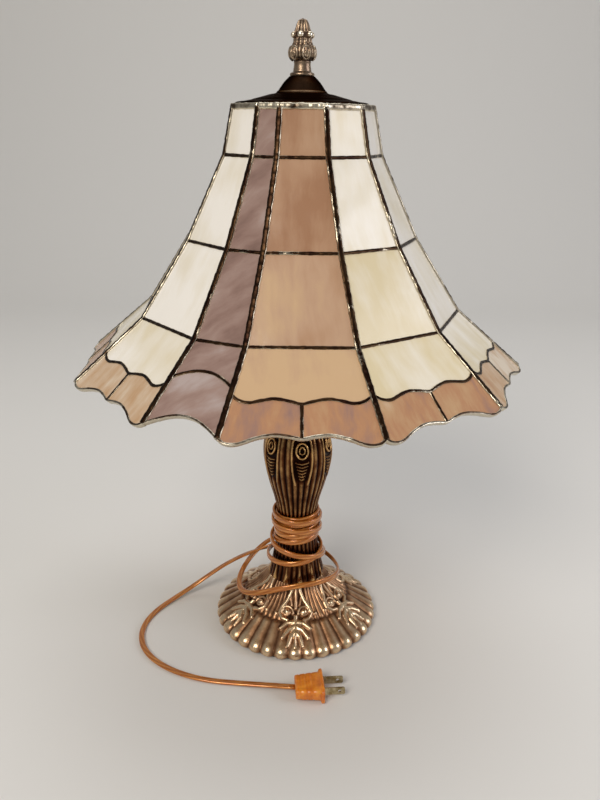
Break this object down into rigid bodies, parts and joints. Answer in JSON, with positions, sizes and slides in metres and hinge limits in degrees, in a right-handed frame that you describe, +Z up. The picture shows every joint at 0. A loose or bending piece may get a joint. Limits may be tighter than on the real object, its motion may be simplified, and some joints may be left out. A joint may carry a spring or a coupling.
{
  "type": "stained glass table lamp",
  "caption": "Table lamp with a bell-shaped stained glass shade in soldered foil, on a cast vase base, harp and finial, its flat cord wound round the stem.",
  "frame": {"origin": "middle of the felt's underside, on the lamp's axis, where it stands", "axes": "+Z up the lamp's axis; -Y towards the front, where a tan panel and a narrow purple panel face; +X to the right as seen from the front, along the plug's blades"},
  "size_m": [0.3605, 0.3584, 0.5069],
  "materials": {
    "felt": "dull green felt",
    "antique_brass": "cast metal, antique brass plate, worn bright on the high spots",
    "stem_bronze": "cast metal, dark red-brown bronze plate",
    "iron": "rough cast",
    "steel": "zinc plated",
    "brass": "spun and lightly polished",
    "screw_brass": "pressed",
    "liner": "pressed fibre",
    "phenolic": "moulded phenolic",
    "bushing": "moulded",
    "bulb_metal": "pressed thread",
    "bulb_glass": "frosted inside",
    "solder": "tin-lead solder with a brown copper patina",
    "cap_bronze": "spun, dark bronze plate",
    "finial_bronze": "cast, worn antique plate",
    "cord": "amber translucent PVC over bare copper",
    "plug": "amber translucent moulded vinyl",
    "blade": "pressed, nickel worn",
    "purple_glass": "opalescent, purple-brown with grey streaks",
    "tan_glass": "opalescent, tan",
    "cream_glass": "opalescent, cream with faint streaks"
  },
  "bodies": {
    "base": {"base_felt": "felt", "base_foot": "antique_brass", "stem_column": "stem_bronze", "stem_vase": "stem_bronze", "base_weight": "iron", "bottom_nut": "steel", "bottom_washer": "steel", "saddle_nut": "steel", "lamp_pipe": "steel", "harp_wire": "steel", "harp_saddle": "steel", "terminal_screws": "steel", "check_ring": "brass", "harp_seat": "brass", "socket_cap": "brass", "socket_shell": "brass", "screw_shell": "screw_brass", "socket_liner": "liner", "socket_core": "phenolic", "cord_bushing": "bushing", "cord_lead_in": "cord", "cord_lead_out": "cord", "cord_winding": "cord", "plug_body": "plug", "plug_blades": "blade"},
    "shade": {"shade_cap": "cap_bronze", "shade_ring": "brass", "rib_solder": "solder", "row_solder_upper": "solder", "row_solder_middle": "solder", "row_solder_lower": "solder", "top_solder": "solder", "scallop_solder": "solder", "edge_solder": "solder", "border_solder": "solder", "glass_panel_01": "purple_glass", "glass_panel_02": "tan_glass", "glass_panel_03": "cream_glass", "glass_panel_04": "cream_glass", "glass_panel_05": "purple_glass", "glass_panel_06": "tan_glass", "glass_panel_07": "cream_glass", "glass_panel_08": "cream_glass", "glass_panel_09": "purple_glass", "glass_panel_10": "tan_glass", "glass_panel_11": "cream_glass", "glass_panel_12": "cream_glass"},
    "finial": {"finial": "finial_bronze"},
    "bulb": {"bulb_cap": "bulb_metal", "bulb_glass": "bulb_glass"},
    "switch_key": {"switch_key": "phenolic"},
    "sleeve_left": {"harp_sleeve_left": "brass"},
    "sleeve_right": {"harp_sleeve_right": "brass"}
  },
  "joints": [
    {"name": "shade_turn", "type": "hinge", "parent": "base", "child": "shade", "pos_m": [0, 0, 0.45], "axis": [0, 0, 1], "continuous": true},
    {"name": "finial_turn", "type": "hinge", "parent": "base", "child": "finial", "pos_m": [0, 0, 0.48], "axis": [0, 0, 1], "continuous": true},
    {"name": "bulb_turn", "type": "hinge", "parent": "base", "child": "bulb", "pos_m": [0, 0, 0.26], "axis": [0, 0, 1], "continuous": true},
    {"name": "switch_key_turn", "type": "hinge", "parent": "base", "child": "switch_key", "pos_m": [0, -0.02, 0.237], "axis": [0, -1, 0], "continuous": true},
    {"name": "sleeve_left_slide", "type": "slide", "parent": "base", "child": "sleeve_left", "axis": [0, 0, 1], "range_m": [0, 0.012]},
    {"name": "sleeve_right_slide", "type": "slide", "parent": "base", "child": "sleeve_right", "axis": [0, 0, 1], "range_m": [0, 0.012]}
  ]
}
